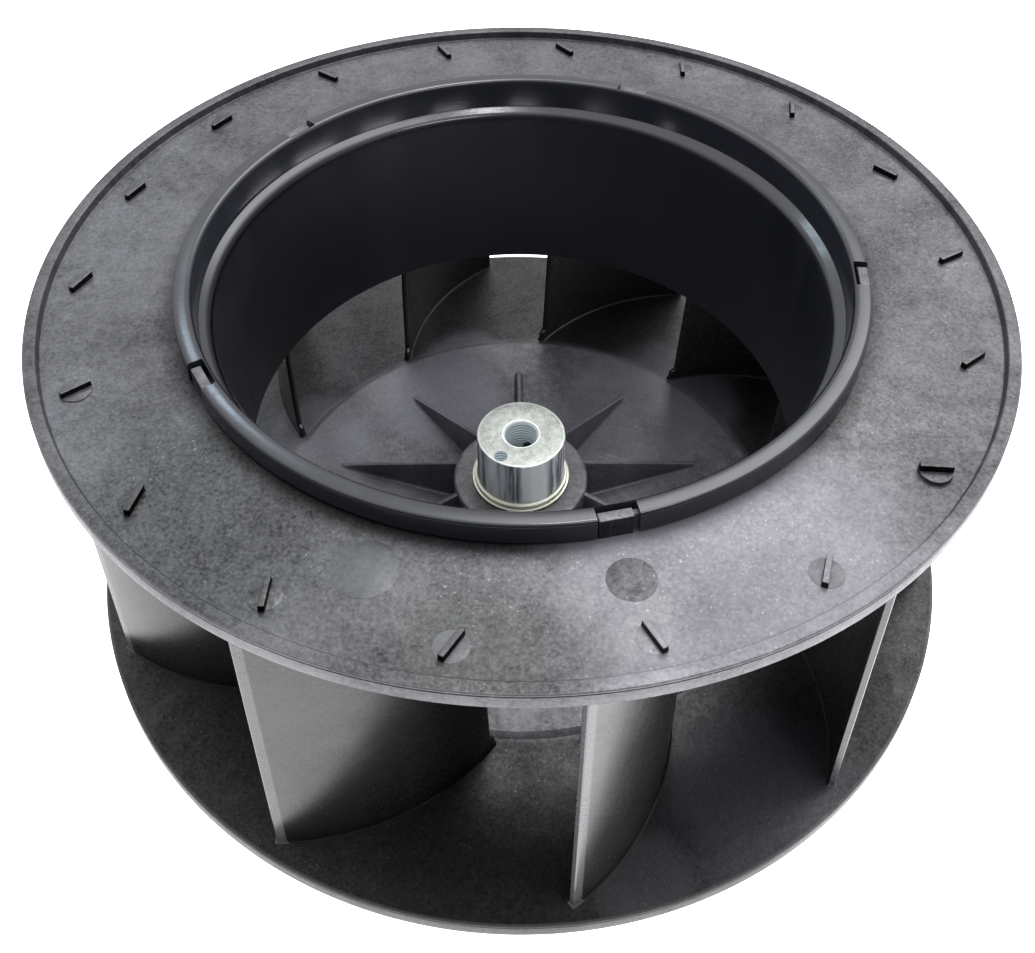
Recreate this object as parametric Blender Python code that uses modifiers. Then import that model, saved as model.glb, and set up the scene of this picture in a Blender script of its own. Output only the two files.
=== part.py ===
"""Blower motor wheel: a plastic backward-curved impeller, 330 mm across, on a steel hub.

The wheel's axis is Z. Z = 0 is the lower edge of the back plate's rim, where the
wheel stands on a bench, and the air inlet faces +Z. Lengths are in metres.
"""

import math

import bmesh
import bpy
from mathutils import Matrix, Vector

MM = 0.001
WHEEL = "blower_motor_wheel"

# Overall
OUTER_R = 165.0 * MM
SEGMENTS = 80  # round the big rings
GAP = 0.3 * MM  # clearance left between touching pieces
CUT_OVERRUN = 1.5 * MM  # how far cutters reach past the wall they cut
ROUND_MID = 0.3  # inset of a rounded corner's middle point, as a share of its radius
SHARP_DEG = 35.0  # edges steeper than this are shaded sharp

# Back plate: a web with a rim below it, raised inside the step, and a hollow boss
PLATE_R = 164.7 * MM
PLATE_TOP_EDGE = 0.5 * MM
PLATE_BOTTOM_EDGE = 0.4 * MM
RIM_INNER_R = 160.8 * MM
WEB_TOP = 5.9 * MM
WEB_BOTTOM = 2.9 * MM
STEP_OUTER_R = 101.5 * MM
STEP_INNER_R = 99.0 * MM
STEP_RISE = 1.0 * MM
INNER_WEB_TOP = WEB_TOP + STEP_RISE
INNER_WEB_BOTTOM = WEB_BOTTOM + STEP_RISE
BOSS_R = 26.7 * MM
BOSS_TOP = 28.0 * MM
BOSS_ROUND = 1.6 * MM
BOSS_BORE_R = 12.3 * MM
BOSS_TUBE_R = 16.5 * MM
BOSS_SKIN = 4.0 * MM

# Fins that brace the boss, sloping down to the web
FIN_COUNT = 10
FIN_FIRST_DEG = 91.0
FIN_TOP = 26.4 * MM
FIN_END_R = 80.0 * MM
FIN_END_HEIGHT = 0.75 * MM
FIN_BASE = 2.6 * MM  # width at the foot beside the boss
FIN_CREST = 1.8 * MM  # width along the top and at the outer end
FIN_SUNK_IN_WEB = 0.6 * MM
FIN_SUNK_IN_BOSS = 1.2 * MM

# Blades: each follows one circular arc in plan, from its trailing foot to its leading foot
BLADE_COUNT = 10
BLADE_FIRST_DEG = -83.6
BLADE_TRAILING_R = 158.0 * MM
BLADE_LEADING_R = 105.2 * MM
BLADE_SWEEP_DEG = 23.8
BLADE_SAGITTA = 8.3 * MM
BLADE_THICKNESS = 2.4 * MM
BLADE_LEAN = 0.0424  # how far the leading edge moves outwards for each unit of height
BLADE_SHOULDER_Z = 124.0 * MM  # above this the leading edge clears the inlet ring
BLADE_TOP_LEADING_R = 113.9 * MM
BLADE_STEPS = 14
SHARE_HALVINGS = 30  # rounds of the search for a radius along the blade

# Inlet ring: a channel that sits over the shroud's collar, and a tapered throat
RING_OUTER_R = 117.45 * MM
RING_INNER_R = 111.25 * MM
RING_LOWER_R = 110.6 * MM  # the upright wall draws in slightly towards the shoulder
RING_WALL = 1.8 * MM
RING_SKIRT_WALL = 1.7 * MM
RING_TOP = 142.7 * MM
RING_ROUND = 0.9 * MM
RING_SKIRT_BOTTOM = 135.5 * MM
RING_SHOULDER_Z = 130.8 * MM
THROAT_TOP_Z = 127.5 * MM
THROAT_TOP_R = 106.0 * MM
THROAT_END_Z = 58.3 * MM
THROAT_END_R = 101.5 * MM
THROAT_WALL = 2.0 * MM

# Shroud
SHROUD_TOP = 134.5 * MM
SHROUD_BOTTOM = 131.4 * MM
SHROUD_SINK = 1.0 * MM  # depth that bars, pad and window cutters reach below its top
LIP_TOP = 137.5 * MM
LIP_INNER_R = RIM_INNER_R
LIP_EDGE = 0.4 * MM
LIP_FOOT_WIDTH = 0.3 * MM
LIP_FOOT_HEIGHT = 0.4 * MM
COLLAR_INNER_R = RING_INNER_R + RING_WALL + GAP
COLLAR_OUTER_R = 115.4 * MM
COLLAR_TOP = 140.5 * MM

# Short raised bars, evenly spaced round the shroud; one crosses a raised round pad
BAR_CIRCLE_R = 150.4 * MM
BAR_FIRST_DEG = 3.4
BAR_LENGTH = 9.8 * MM
BAR_WIDTH = 1.8 * MM
BAR_HEIGHT = 2.2 * MM
# How far each bar is turned from the radius, in degrees
BAR_TILT_DEG = (27, -69, 39, 24, 47, 17, 21, -88, 80, 61, 15, 34, 24, -26, 17, -51, 33, 53)
PAD_R = 5.0 * MM
PAD_RISE = 1.4 * MM
PAD_SEGMENTS = 32
PAD_BAR = 16  # index of the bar on the raised pad

# Catches on the shroud that hold the inlet ring through its windows
CATCH_COUNT = 5
CATCH_FIRST_DEG = -148.6
CATCH_INNER_R = 113.4 * MM
CATCH_OUTER_R = 116.8 * MM
CATCH_TOP = 141.7 * MM
CATCH_BOTTOM = SHROUD_BOTTOM + 0.8 * MM
CATCH_END_GAP = 1.4 * MM  # the wider gap, at the anticlockwise end seen from +Z
WINDOW_LENGTH = 12.2 * MM
WINDOW_INNER_R = 112.15 * MM

# Hub, with a flange above the washer and a spigot through the boss
HUB_SEGMENTS = 48
DRILL_SEGMENTS = 20
WASHER_R = 19.3 * MM
WASHER_BOTTOM = BOSS_TOP + GAP
WASHER_TOP = WASHER_BOTTOM + 0.8 * MM
WASHER_EDGE = 0.15 * MM
HUB_R = 17.15 * MM
HUB_TOP = 52.1 * MM
HUB_TOP_EDGE = 0.5 * MM
HUB_FLANGE_R = 18.4 * MM
HUB_FLANGE_TOP = 30.7 * MM
HUB_FLANGE_BOTTOM = WASHER_TOP + GAP
HUB_FLANGE_EDGE = 0.2 * MM
HUB_FILLET = 0.9 * MM
HUB_SPIGOT_R = 12.0 * MM
HUB_SPIGOT_EDGE = 0.4 * MM
HUB_BOTTOM = 1.0 * MM
BORE_R = 6.35 * MM
BORE_CHAMFER = 0.6 * MM
PIN_HOLE_R = 2.6 * MM
PIN_HOLE_PITCH_R = 13.9 * MM
PIN_HOLE_DEG = -123.5
PIN_HOLE_DEPTH = 5.0 * MM

# Retaining ring and its groove in the spigot
CLIP_INNER_R = 10.9 * MM
CLIP_OUTER_R = 15.2 * MM
CLIP_OPENING_DEG = 40.0
CLIP_CUTTER_HEIGHT = 6.0 * MM
GROOVE_R = CLIP_INNER_R - GAP
GROOVE_BOTTOM = 1.9 * MM
GROOVE_TOP = 3.5 * MM

# Set screw
SCREW_Z = 38.0 * MM
SCREW_DEG = 55.0
SCREW_R = 2.95 * MM
SCREW_HOLE_R = SCREW_R + GAP
SCREW_LENGTH = 7.9 * MM
SCREW_TIP_R = 8.2 * MM  # distance of the inner end from the wheel's axis
SCREW_EDGE = 0.45 * MM
SCREW_EDGE_LIMIT_DEG = 60.0
SOCKET_AF = 3.18 * MM  # across the hexagon's flats
SOCKET_DEPTH = 3.2 * MM


# Scene helpers

def clear_scene():
    for item in list(bpy.data.objects):
        bpy.data.objects.remove(item, do_unlink=True)
    for block in (bpy.data.meshes, bpy.data.curves, bpy.data.materials):
        for item in list(block):
            block.remove(item)


def collection(name, helper=False):
    made = bpy.data.collections.new(name)
    bpy.context.scene.collection.children.link(made)
    made.hide_render = helper
    return made


def material(name, colour, roughness, metallic=0.0):
    made = bpy.data.materials.new(name)
    made.use_nodes = True
    shader = made.node_tree.nodes["Principled BSDF"]
    shader.inputs["Base Color"].default_value = (*colour, 1.0)
    shader.inputs["Roughness"].default_value = roughness
    shader.inputs["Metallic"].default_value = metallic
    return made


def add_part(name, mesh, finish):
    made = bpy.data.objects.new(name, mesh)
    PARTS.objects.link(made)
    mesh.materials.append(finish)
    return made


def mesh_from(name, shape):
    mesh = bpy.data.meshes.new(name)
    shape.to_mesh(mesh)
    shape.free()
    return mesh


def solid_mesh(name, shape):
    bmesh.ops.recalc_face_normals(shape, faces=shape.faces)
    return mesh_from(name, shape)


def boolean(target, name, shape, operation):
    """Make a hidden helper from the bmesh, join it to or cut it from the target, and return it."""
    helper = bpy.data.objects.new(name, solid_mesh(name, shape))
    CUTTERS.objects.link(helper)
    helper.hide_render = True
    helper.display_type = "WIRE"
    step = target.modifiers.new(name, "BOOLEAN")
    step.operation = operation
    step.solver = "EXACT"
    step.object = helper
    return helper


def shade(mesh):
    for face in mesh.polygons:
        face.use_smooth = True
    mesh.set_sharp_from_angle(angle=math.radians(SHARP_DEG))


# Shape helpers

ALONG_X = Matrix.Rotation(math.pi / 2, 4, "Y")  # lays the Z axis along X


def turn_to(degrees):
    return Matrix.Rotation(math.radians(degrees), 4, "Z")


def spaced(first, count):
    """Angles in degrees, evenly spaced round the wheel."""
    return [first + 360.0 / count * step for step in range(count)]


def turned(name, profile, finish, steps=SEGMENTS):
    """A closed profile of (radius, height) turned once about Z. It runs down its outer side."""
    mesh = bpy.data.meshes.new(name)
    edges = [(i, (i + 1) % len(profile)) for i in range(len(profile))]
    mesh.from_pydata([(r, 0.0, z) for r, z in profile], edges, [])
    made = add_part(name, mesh, finish)
    screw = made.modifiers.new("Turn", "SCREW")
    screw.axis = "Z"
    screw.angle = math.tau
    screw.steps = steps
    screw.render_steps = steps
    screw.use_merge_vertices = True
    screw.merge_threshold = 1e-5
    screw.use_smooth_shade = True
    return made


def add_box(shape, low, high, matrix):
    """A box between two opposite corners, then placed by the matrix."""
    low, high = Vector(low), Vector(high)
    place = matrix @ Matrix.Translation((low + high) / 2)
    bmesh.ops.create_cube(shape, size=1.0, matrix=place @ Matrix.Diagonal((*(high - low), 1.0)))


def add_rod(shape, radius, bottom, top, matrix, segments=DRILL_SEGMENTS):
    """A rod on Z between two heights, then placed by the matrix."""
    bmesh.ops.create_cone(
        shape,
        cap_ends=True,
        segments=segments,
        radius1=radius,
        radius2=radius,
        depth=top - bottom,
        matrix=matrix @ Matrix.Translation((0.0, 0.0, (bottom + top) / 2)),
    )


# Shroud

def add_catches(shroud):
    blocks = bmesh.new()
    low = (CATCH_INNER_R, GAP - WINDOW_LENGTH / 2, CATCH_BOTTOM)
    high = (CATCH_OUTER_R, WINDOW_LENGTH / 2 - CATCH_END_GAP, CATCH_TOP)
    for angle in spaced(CATCH_FIRST_DEG, CATCH_COUNT):
        add_box(blocks, low, high, turn_to(angle))
    boolean(shroud, "catch_blocks", blocks, "UNION")


def add_bars(shroud):
    bars = bmesh.new()
    foot = SHROUD_TOP - SHROUD_SINK
    angles = spaced(BAR_FIRST_DEG, len(BAR_TILT_DEG))
    for number, (angle, tilt) in enumerate(zip(angles, BAR_TILT_DEG)):
        place = turn_to(angle) @ Matrix.Translation((BAR_CIRCLE_R, 0.0, 0.0))
        base = SHROUD_TOP
        if number == PAD_BAR:
            base += PAD_RISE
            pad = bmesh.new()
            add_rod(pad, PAD_R, foot, base, place, PAD_SEGMENTS)
            boolean(shroud, "raised_pad", pad, "UNION")
        low = (-BAR_LENGTH / 2, -BAR_WIDTH / 2, foot)
        high = (BAR_LENGTH / 2, BAR_WIDTH / 2, base + BAR_HEIGHT)
        add_box(bars, low, high, place @ turn_to(tilt))
    boolean(shroud, "bar_blanks", bars, "UNION")


def make_shroud():
    profile = [
        (OUTER_R, LIP_TOP - LIP_EDGE),
        (OUTER_R, SHROUD_BOTTOM),
        (COLLAR_INNER_R, SHROUD_BOTTOM),
        (COLLAR_INNER_R, COLLAR_TOP),
        (COLLAR_OUTER_R, COLLAR_TOP),
        (COLLAR_OUTER_R, SHROUD_TOP),
        (LIP_INNER_R - LIP_FOOT_WIDTH, SHROUD_TOP),
        (LIP_INNER_R, SHROUD_TOP + LIP_FOOT_HEIGHT),
        (LIP_INNER_R, LIP_TOP),
        (OUTER_R - LIP_EDGE, LIP_TOP),
    ]
    shroud = turned("shroud", profile, MATTE)
    add_catches(shroud)
    add_bars(shroud)
    return shroud


# Inlet ring

def make_inlet_ring():
    wall_r = RING_INNER_R + RING_WALL
    skirt_r = RING_OUTER_R - RING_SKIRT_WALL
    round_mid = ROUND_MID * RING_ROUND
    inner_edge = RING_ROUND / 2
    profile = [
        (RING_OUTER_R, RING_TOP - RING_ROUND),
        (RING_OUTER_R, RING_SKIRT_BOTTOM),
        (skirt_r, RING_SKIRT_BOTTOM),
        (skirt_r, RING_TOP - RING_WALL),
        (wall_r, RING_TOP - RING_WALL),
        (wall_r, RING_SHOULDER_Z),
        (THROAT_TOP_R + THROAT_WALL, THROAT_TOP_Z),
        (THROAT_END_R + THROAT_WALL, THROAT_END_Z),
        (THROAT_END_R, THROAT_END_Z),
        (THROAT_TOP_R, THROAT_TOP_Z),
        (RING_LOWER_R, RING_SHOULDER_Z),
        (RING_INNER_R, RING_TOP - inner_edge),
        (RING_INNER_R + inner_edge, RING_TOP),
        (RING_OUTER_R - RING_ROUND, RING_TOP),
        (RING_OUTER_R - round_mid, RING_TOP - round_mid),
    ]
    ring = turned("inlet_ring", profile, GLOSS)

    windows = bmesh.new()
    depth = RING_TOP - SHROUD_TOP + SHROUD_SINK
    low = (WINDOW_INNER_R, -WINDOW_LENGTH / 2, RING_TOP - depth)
    high = (RING_OUTER_R + CUT_OVERRUN, WINDOW_LENGTH / 2, RING_TOP + depth)
    for angle in spaced(CATCH_FIRST_DEG, CATCH_COUNT):
        add_box(windows, low, high, turn_to(angle))
    boolean(ring, "window_cutters", windows, "DIFFERENCE")
    return ring


# Back plate

def add_fins(plate):
    fins = bmesh.new()
    foot = INNER_WEB_TOP - FIN_SUNK_IN_WEB
    for angle in spaced(FIN_FIRST_DEG, FIN_COUNT):
        corners = bmesh.ops.create_cube(fins, size=1.0)["verts"]
        for corner in corners:
            outer, upper = corner.co.x > 0, corner.co.z > 0
            width = FIN_CREST if outer or upper else FIN_BASE
            top = foot + FIN_END_HEIGHT if outer else FIN_TOP
            corner.co = (
                FIN_END_R if outer else BOSS_R - FIN_SUNK_IN_BOSS,
                math.copysign(width / 2, corner.co.y),
                top if upper else foot,
            )
        bmesh.ops.transform(fins, verts=corners, matrix=turn_to(angle))
    boolean(plate, "fin_blanks", fins, "UNION")


def make_back_plate():
    round_mid = ROUND_MID * BOSS_ROUND
    profile = [
        (BOSS_R - BOSS_ROUND, BOSS_TOP),
        (BOSS_R - round_mid, BOSS_TOP - round_mid),
        (BOSS_R, BOSS_TOP - BOSS_ROUND),
        (BOSS_R, INNER_WEB_TOP),
        (STEP_INNER_R, INNER_WEB_TOP),
        (STEP_OUTER_R, WEB_TOP),
        (PLATE_R - PLATE_TOP_EDGE, WEB_TOP),
        (PLATE_R, WEB_TOP - PLATE_TOP_EDGE),
        (PLATE_R, PLATE_BOTTOM_EDGE),
        (PLATE_R - PLATE_BOTTOM_EDGE, 0.0),
        (RIM_INNER_R, 0.0),
        (RIM_INNER_R, WEB_BOTTOM),
        (STEP_OUTER_R, WEB_BOTTOM),
        (STEP_INNER_R, INNER_WEB_BOTTOM),
        (BOSS_R - BOSS_SKIN, INNER_WEB_BOTTOM),
        (BOSS_R - BOSS_SKIN, BOSS_TOP - BOSS_SKIN),
        (BOSS_TUBE_R, BOSS_TOP - BOSS_SKIN),
        (BOSS_TUBE_R, INNER_WEB_BOTTOM),
        (BOSS_BORE_R, INNER_WEB_BOTTOM),
        (BOSS_BORE_R, BOSS_TOP),
    ]
    plate = turned("back_plate", profile, BASE)
    add_fins(plate)
    return plate


# Blades

def blade_point(share):
    """A point on the blade's middle line in plan, from the trailing foot (0) to the leading (1)."""
    start = Vector((BLADE_TRAILING_R, 0.0))
    sweep = math.radians(BLADE_SWEEP_DEG)
    end = Vector((BLADE_LEADING_R * math.cos(sweep), BLADE_LEADING_R * math.sin(sweep)))
    chord = (end - start).length
    radius = (chord**2 / 4 + BLADE_SAGITTA**2) / (2 * BLADE_SAGITTA)
    along = (end - start).normalized()
    across = Vector((along.y, -along.x))  # towards the outside of the wheel
    centre = (start + end) / 2 + across * (BLADE_SAGITTA - radius)
    half = math.asin(chord / 2 / radius)
    turn = half * (2 * share - 1)
    return centre + (across * math.cos(turn) + along * math.sin(turn)) * radius


def blade_share(lead_r):
    """How far along the line the blade reaches when its leading edge is at this radius."""
    low, high = 0.5, 1.0
    for _ in range(SHARE_HALVINGS):
        middle = (low + high) / 2
        if blade_point(middle).length > lead_r:
            low = middle
        else:
            high = middle
    return high


def make_blade(number, angle):
    """A sheet on the blade's middle surface, bent from a flat grid and thickened both ways."""
    bottom, top = WEB_TOP + GAP, SHROUD_BOTTOM - GAP
    rows = [bottom, (bottom + BLADE_SHOULDER_Z) / 2, BLADE_SHOULDER_Z, top]
    last = len(rows) - 1
    shape = bmesh.new()
    bmesh.ops.create_grid(shape, x_segments=BLADE_STEPS, y_segments=last, size=0.5)
    for vertex in shape.verts:
        row = round((vertex.co.y + 0.5) * last)
        height = rows[row]
        lead_r = BLADE_LEADING_R + BLADE_LEAN * (height - WEB_TOP)
        if row == last:
            lead_r = BLADE_TOP_LEADING_R
        point = blade_point((vertex.co.x + 0.5) * blade_share(lead_r))
        vertex.co = (point.x, point.y, height)
    name = f"blade_{number:02d}"
    blade = add_part(name, mesh_from(name, shape), BLADE)
    wall = blade.modifiers.new("Wall", "SOLIDIFY")
    wall.thickness = BLADE_THICKNESS
    wall.offset = 0.0
    wall.use_even_offset = True
    blade.rotation_euler.z = math.radians(angle)
    return blade


# Hub and its small parts

def make_hub():
    fillet_mid = ROUND_MID * HUB_FILLET
    profile = [
        (HUB_R - HUB_TOP_EDGE, HUB_TOP),
        (HUB_R, HUB_TOP - HUB_TOP_EDGE),
        (HUB_R, HUB_FLANGE_TOP + HUB_FILLET),
        (HUB_R + fillet_mid, HUB_FLANGE_TOP + fillet_mid),
        (HUB_FLANGE_R - HUB_FLANGE_EDGE, HUB_FLANGE_TOP),
        (HUB_FLANGE_R, HUB_FLANGE_TOP - HUB_FLANGE_EDGE),
        (HUB_FLANGE_R, HUB_FLANGE_BOTTOM),
        (HUB_SPIGOT_R, HUB_FLANGE_BOTTOM),
        (HUB_SPIGOT_R, GROOVE_TOP),
        (GROOVE_R, GROOVE_TOP),
        (GROOVE_R, GROOVE_BOTTOM),
        (HUB_SPIGOT_R, GROOVE_BOTTOM),
        (HUB_SPIGOT_R, HUB_BOTTOM + HUB_SPIGOT_EDGE),
        (HUB_SPIGOT_R - HUB_SPIGOT_EDGE, HUB_BOTTOM),
        (BORE_R + BORE_CHAMFER, HUB_BOTTOM),
        (BORE_R, HUB_BOTTOM + BORE_CHAMFER),
        (BORE_R, HUB_TOP - BORE_CHAMFER),
        (BORE_R + BORE_CHAMFER, HUB_TOP),
    ]
    hub = turned("hub", profile, ZINC, HUB_SEGMENTS)

    drillings = bmesh.new()
    pin = turn_to(PIN_HOLE_DEG) @ Matrix.Translation((PIN_HOLE_PITCH_R, 0.0, 0.0))
    add_rod(drillings, PIN_HOLE_R, HUB_TOP - PIN_HOLE_DEPTH, HUB_TOP + PIN_HOLE_DEPTH, pin)
    screw = turn_to(SCREW_DEG) @ Matrix.Translation((0.0, 0.0, SCREW_Z)) @ ALONG_X
    add_rod(drillings, SCREW_HOLE_R, BORE_R - CUT_OVERRUN, HUB_R + CUT_OVERRUN, screw)
    boolean(hub, "hub_drillings", drillings, "DIFFERENCE")
    return hub


def make_washer():
    profile = [
        (WASHER_R, WASHER_TOP - WASHER_EDGE),
        (WASHER_R, WASHER_BOTTOM),
        (HUB_SPIGOT_R + GAP, WASHER_BOTTOM),
        (HUB_SPIGOT_R + GAP, WASHER_TOP),
        (WASHER_R - WASHER_EDGE, WASHER_TOP),
    ]
    return turned("hub_washer", profile, ZINC, HUB_SEGMENTS)


def make_retaining_ring():
    """A ring in the groove of the hub's lower end, open towards -Y."""
    low, high = GROOVE_BOTTOM + GAP, GROOVE_TOP - GAP
    profile = [
        (CLIP_OUTER_R, high),
        (CLIP_OUTER_R, low),
        (CLIP_INNER_R, low),
        (CLIP_INNER_R, high),
    ]
    ring = turned("hub_retaining_ring", profile, SPRING, HUB_SEGMENTS)

    opening = bmesh.new()
    half_width = CLIP_INNER_R * math.sin(math.radians(CLIP_OPENING_DEG / 2))
    half_size = Vector((CLIP_OUTER_R / 2, half_width, CLIP_CUTTER_HEIGHT / 2))
    middle = Vector((CLIP_OUTER_R, 0.0, (low + high) / 2))
    add_box(opening, middle - half_size, middle + half_size, turn_to(-90.0))
    boolean(ring, "ring_opening", opening, "DIFFERENCE")
    return ring


def make_set_screw():
    """The screw's origin is at its middle, and its local X points out of the hub."""
    half = SCREW_LENGTH / 2
    shape = bmesh.new()
    add_rod(shape, SCREW_R, -half, half, ALONG_X)
    screw = add_part("set_screw", solid_mesh("set_screw", shape), BLACK_OXIDE)
    edge = screw.modifiers.new("Edges", "BEVEL")
    edge.width = SCREW_EDGE
    edge.segments = 1
    edge.limit_method = "ANGLE"
    edge.angle_limit = math.radians(SCREW_EDGE_LIMIT_DEG)

    socket = bmesh.new()
    corner_r = SOCKET_AF / math.sqrt(3)
    add_rod(socket, corner_r, half - SOCKET_DEPTH, half + SOCKET_DEPTH, ALONG_X, segments=6)
    cutter = boolean(screw, "screw_socket", socket, "DIFFERENCE")
    for item in (screw, cutter):
        item.rotation_euler.z = math.radians(SCREW_DEG)
        item.location = turn_to(SCREW_DEG) @ Vector((SCREW_TIP_R + half, 0.0, SCREW_Z))
    return screw


# Build

clear_scene()
PARTS = collection(WHEEL)
CUTTERS = collection("cutters", helper=True)

MATTE = material("shroud_plastic", colour=(0.060, 0.060, 0.068), roughness=0.55)
GLOSS = material("inlet_ring_plastic", colour=(0.012, 0.012, 0.015), roughness=0.22)
BASE = material("back_plate_plastic", colour=(0.050, 0.049, 0.055), roughness=0.50)
BLADE = material("blade_plastic", colour=(0.040, 0.038, 0.042), roughness=0.42)
ZINC = material("hub_zinc", colour=(0.62, 0.64, 0.58), roughness=0.32, metallic=1.0)
SPRING = material(
    "retaining_ring_steel", colour=(0.30, 0.30, 0.31), roughness=0.35, metallic=1.0
)
BLACK_OXIDE = material(
    "set_screw_steel", colour=(0.03, 0.03, 0.032), roughness=0.35, metallic=1.0
)

AXLE = bpy.data.objects.new("wheel_axis", None)
PARTS.objects.link(AXLE)

PIECES = [make_shroud(), make_inlet_ring(), make_back_plate()]
for index, blade_angle in enumerate(spaced(BLADE_FIRST_DEG, BLADE_COUNT), start=1):
    PIECES.append(make_blade(index, blade_angle))
PIECES += [make_hub(), make_washer(), make_retaining_ring(), make_set_screw()]
for piece in PIECES:
    shade(piece.data)
    piece.parent = AXLE
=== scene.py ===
"""A blower motor wheel: shroud, inlet ring, back plate, ten blades, zinc hub and set screw.

The wheel turns about the Z axis. Its back plate stands on z = 0 and its inlet faces up (+Z).
Sizes are in millimetres and angles in degrees from +X, unless a comment says otherwise.
"""

import math

import bmesh
import bpy
import numpy as np
from mathutils import Matrix, Vector


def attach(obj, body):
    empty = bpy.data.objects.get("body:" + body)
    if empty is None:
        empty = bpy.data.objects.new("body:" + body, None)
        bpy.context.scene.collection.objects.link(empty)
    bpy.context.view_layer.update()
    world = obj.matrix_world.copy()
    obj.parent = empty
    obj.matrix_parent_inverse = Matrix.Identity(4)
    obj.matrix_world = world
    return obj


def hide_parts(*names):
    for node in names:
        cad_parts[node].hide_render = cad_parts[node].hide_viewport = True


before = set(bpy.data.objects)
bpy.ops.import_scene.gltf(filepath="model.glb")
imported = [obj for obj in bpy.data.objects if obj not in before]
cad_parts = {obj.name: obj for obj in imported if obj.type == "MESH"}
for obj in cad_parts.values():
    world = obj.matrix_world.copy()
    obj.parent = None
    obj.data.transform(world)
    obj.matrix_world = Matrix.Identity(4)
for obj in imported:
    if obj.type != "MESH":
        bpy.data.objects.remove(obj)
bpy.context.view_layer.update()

MM = 0.001
TAU = math.tau

SHROUD_TOP, SHROUD_LOW, SHROUD_LIP_TOP = 134.5, 131.4, 137.5
SHROUD_RADIUS = 165.0
BACK_RADIUS = 164.7
BOSS_RADIUS = 26.7  # raised middle of the back plate
BORE_RADIUS = 6.95
BLIND_HOLE_DISTANCE, BLIND_HOLE_ANGLE = 13.9, -123.5  # small hole in the hub's end face
SCREW_ANGLE, SCREW_HEIGHT = 55.0, 38.0


def rad(degrees):
    return math.radians(degrees)


# ---------------------------------------------------------------- shapes: (verts, faces) in mm


def rounded(points, steps=4):
    """A closed outline of (a, b, corner radius) points with every corner rounded."""
    out = []
    count = len(points)
    for i in range(count):
        before, corner, after = (
            np.array(points[(i + k) % count][:2], float) for k in (-1, 0, 1)
        )
        back, ahead = before - corner, after - corner
        back_length, ahead_length = np.linalg.norm(back), np.linalg.norm(ahead)
        back, ahead = back / back_length, ahead / ahead_length
        angle = math.acos(float(np.clip(back @ ahead, -1, 1)))
        radius = points[i][2]
        if radius <= 0 or angle > 3.05:  # sharp, or nearly straight
            out.append(tuple(corner))
            continue
        # The arc uses up less than half of either side
        reach = min(radius / math.tan(angle / 2), 0.48 * back_length, 0.48 * ahead_length)
        radius = reach * math.tan(angle / 2)
        middle = (back + ahead) / np.linalg.norm(back + ahead)
        centre = corner + middle * (radius / math.sin(angle / 2))
        first, last = corner + back * reach - centre, corner + ahead * reach - centre
        start = math.atan2(first[1], first[0])
        sweep = (math.atan2(last[1], last[0]) - start + math.pi) % TAU - math.pi
        for k in range(steps + 1):
            turn = start + sweep * k / steps
            out.append((centre[0] + radius * math.cos(turn), centre[1] + radius * math.sin(turn)))
    return out


def circle(radius, segments):
    turns = [TAU * k / segments for k in range(segments)]
    return [(radius * math.cos(turn), radius * math.sin(turn)) for turn in turns]


def lathe(points, segments, steps=4):
    """A closed outline of (radius, height, corner radius) turned once about Z."""
    outline = rounded(points, steps)
    count = len(outline)
    verts = [(r * c, r * s, z) for c, s in circle(1.0, segments) for r, z in outline]
    faces = []
    for i in range(segments):
        k = (i + 1) % segments
        for j in range(count):
            m = (j + 1) % count
            faces.append((i * count + j, i * count + m, k * count + m, k * count + j))
    return verts, faces


def loft(loops):
    """Closed loops of the same length joined in order, with both ends filled."""
    count = len(loops[0])
    verts = [tuple(point) for loop in loops for point in loop]
    faces = []
    for i in range(len(loops) - 1):
        for j in range(count):
            m = (j + 1) % count
            here, above = i * count, (i + 1) * count
            faces.append((here + j, here + m, above + m, above + j))
    faces.append(tuple(range(count))[::-1])
    faces.append(tuple((len(loops) - 1) * count + j for j in range(count)))
    return verts, faces


def merge(shapes):
    verts, faces = [], []
    for shape_verts, shape_faces in shapes:
        base = len(verts)
        verts += list(shape_verts)
        faces += [tuple(i + base for i in face) for face in shape_faces]
    return verts, faces


def place(shape, distance, angle, tilt=0.0):
    """Turns a shape by tilt, moves it out to a distance, then turns it to an angle."""
    out = []
    cos_tilt, sin_tilt = math.cos(rad(tilt)), math.sin(rad(tilt))
    cos_angle, sin_angle = math.cos(rad(angle)), math.sin(rad(angle))
    for x, y, z in shape[0]:
        x, y = x * cos_tilt - y * sin_tilt + distance, x * sin_tilt + y * cos_tilt
        out.append((x * cos_angle - y * sin_angle, x * sin_angle + y * cos_angle, z))
    return out, shape[1]


def top_levels(low, high, edge, draft=0.0):
    """(height, inset) levels of a body with a rounded top edge and a foot wider by draft."""
    turns = [rad(90 * k / 3) for k in range(4)]
    rounding = [(high - edge + edge * math.sin(t), edge * (1 - math.cos(t))) for t in turns]
    return [(low, -draft)] + rounding


def pill(length, width, corner, low, high, edge, draft=0.0):
    """A bar with rounded corners and a rounded top edge, standing from low to high."""
    half_l, half_w = length / 2, width / 2
    signs = ((1, 1), (-1, 1), (-1, -1), (1, -1))
    outline = rounded([(half_l * i, half_w * j, corner) for i, j in signs])
    return loft([
        [(x * (half_l - inset) / half_l, y * (half_w - inset) / half_w, z) for x, y in outline]
        for z, inset in top_levels(low, high, edge, draft)
    ])


def crosswise(shape, shift=0.0):
    """Swaps x and y, so the long side lies round the wheel, and moves the shape along y."""
    return [(y, x + shift, z) for x, y, z in shape[0]], shape[1]


def disc(radius, low, high, edge, segments):
    return loft([
        [(x, y, z) for x, y in circle(radius - inset, segments)]
        for z, inset in top_levels(low, high, edge)
    ])


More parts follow.
